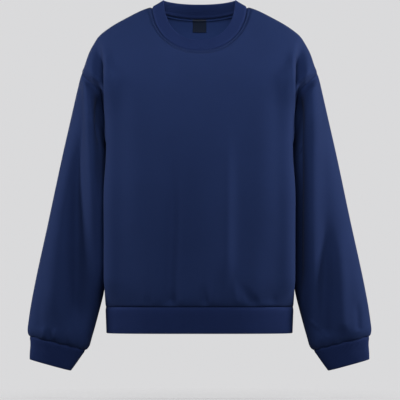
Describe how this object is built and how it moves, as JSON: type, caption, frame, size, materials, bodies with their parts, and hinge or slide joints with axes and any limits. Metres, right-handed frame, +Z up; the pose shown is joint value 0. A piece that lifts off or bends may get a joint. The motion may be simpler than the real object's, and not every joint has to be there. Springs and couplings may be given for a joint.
{
  "type": "crewneck sweatshirt",
  "caption": "Loose long-sleeved crewneck sweatshirt in brushed fleece, filled out as worn, with dropped shoulders and a ribbed collar, cuffs and waistband.",
  "frame": {"origin": "midway between the two neck points, where the shoulder seams meet the collar, and where the wearer's shoulders hold it up", "axes": "+Z up, the front faces -Y, +X towards the viewer's right as the front is seen"},
  "size_m": [0.7546, 0.2351, 0.8114],
  "materials": {
    "fleece": "matte brushed-back fleece, plain navy",
    "rib": "matte rib knit, plain navy",
    "label": "dark woven tape, bare"
  },
  "bodies": {
    "root": {"front": "fleece", "back": "fleece", "sleeve_left": "fleece", "sleeve_right": "fleece", "neck_rib": "rib", "cuff_left": "rib", "cuff_right": "rib", "hem_rib": "rib", "neck_label": "label"}
  },
  "joints": []
}
